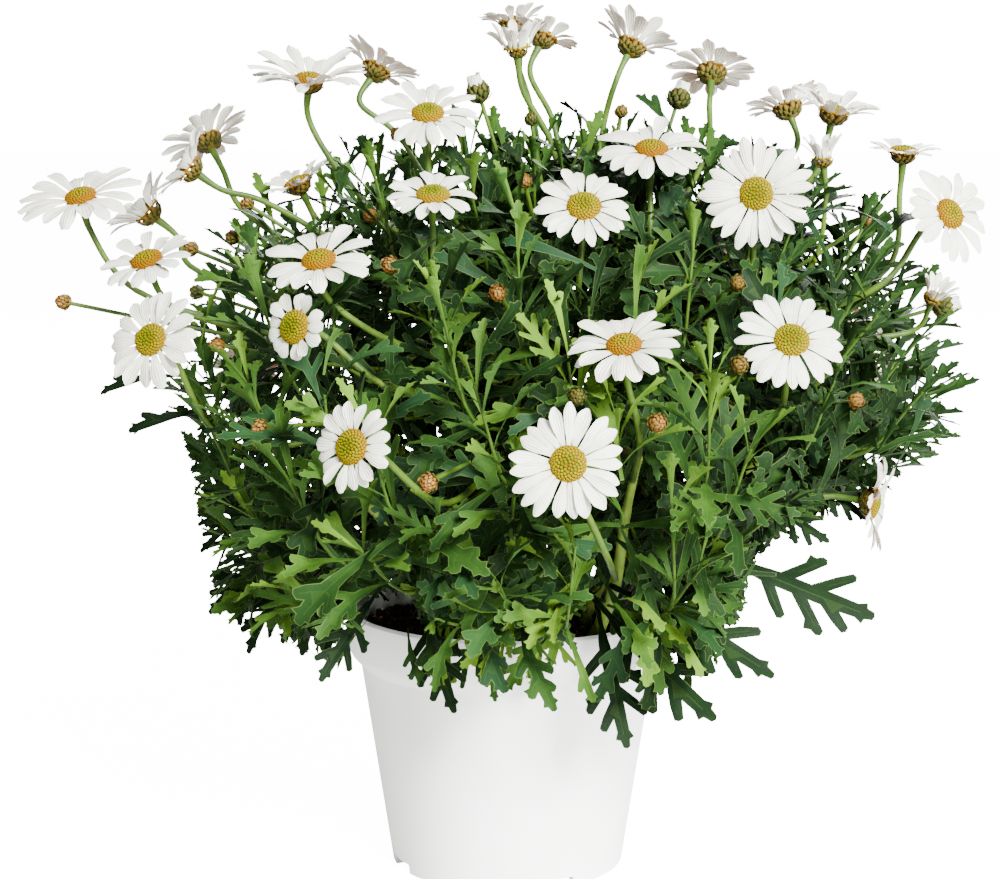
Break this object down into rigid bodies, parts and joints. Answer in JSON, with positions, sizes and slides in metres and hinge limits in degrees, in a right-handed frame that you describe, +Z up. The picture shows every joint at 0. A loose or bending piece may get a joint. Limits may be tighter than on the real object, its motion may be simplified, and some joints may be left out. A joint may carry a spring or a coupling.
{
  "type": "potted marguerite daisy",
  "caption": "Bushy marguerite daisy with white daisy heads, lobed green leaves and buds, standing in a round white plastic nursery pot.",
  "frame": {"origin": "middle of the pot's foot, on the surface that it stands on", "axes": "+Z up out of the pot, -Y to the front of the plant, +X to the right as seen from the front"},
  "size_m": [0.4952, 0.4502, 0.4548],
  "materials": {
    "pot": "satin",
    "soil": "matte",
    "green": "satin",
    "ray": "matte",
    "disc": "matte"
  },
  "bodies": {
    "root": {"pot": "pot", "soil": "soil", "leafy_plant": "green", "bloom_01_rays": "ray", "bloom_01_disc": "disc", "bloom_02_rays": "ray", "bloom_03_rays": "ray", "bloom_03_disc": "disc", "bloom_04_rays": "ray", "bloom_04_disc": "disc", "bloom_05_rays": "ray", "bloom_06_rays": "ray", "bloom_07_rays": "ray", "bloom_07_disc": "disc", "bloom_08_rays": "ray", "bloom_09_rays": "ray", "bloom_09_disc": "disc", "bloom_11_rays": "ray", "bloom_12_rays": "ray", "bloom_12_disc": "disc", "bloom_13_rays": "ray", "bloom_13_disc": "disc", "bloom_14_rays": "ray", "bloom_14_disc": "disc", "bloom_15_rays": "ray", "bloom_16_rays": "ray", "bloom_17_rays": "ray", "bloom_18_rays": "ray", "bloom_19_rays": "ray", "bloom_19_disc": "disc", "bloom_20_rays": "ray", "bloom_22_rays": "ray", "bloom_23_rays": "ray", "bloom_24_rays": "ray", "bloom_24_disc": "disc", "bloom_25_rays": "ray", "bloom_26_rays": "ray", "bloom_27_rays": "ray", "bloom_27_disc": "disc", "bloom_28_rays": "ray", "bloom_29_rays": "ray", "bloom_29_disc": "disc", "bloom_30_rays": "ray", "bloom_30_disc": "disc", "bloom_31_rays": "ray", "bloom_31_disc": "disc", "bloom_32_rays": "ray", "bloom_32_disc": "disc", "bloom_33_rays": "ray", "bloom_34_rays": "ray", "bloom_34_disc": "disc", "bloom_35_rays": "ray", "bloom_36_rays": "ray", "bloom_37_rays": "ray", "bloom_38_rays": "ray", "bloom_39_rays": "ray", "bloom_40_rays": "ray", "bloom_41_rays": "ray", "bloom_42_rays": "ray", "bloom_43_rays": "ray"}
  },
  "joints": []
}
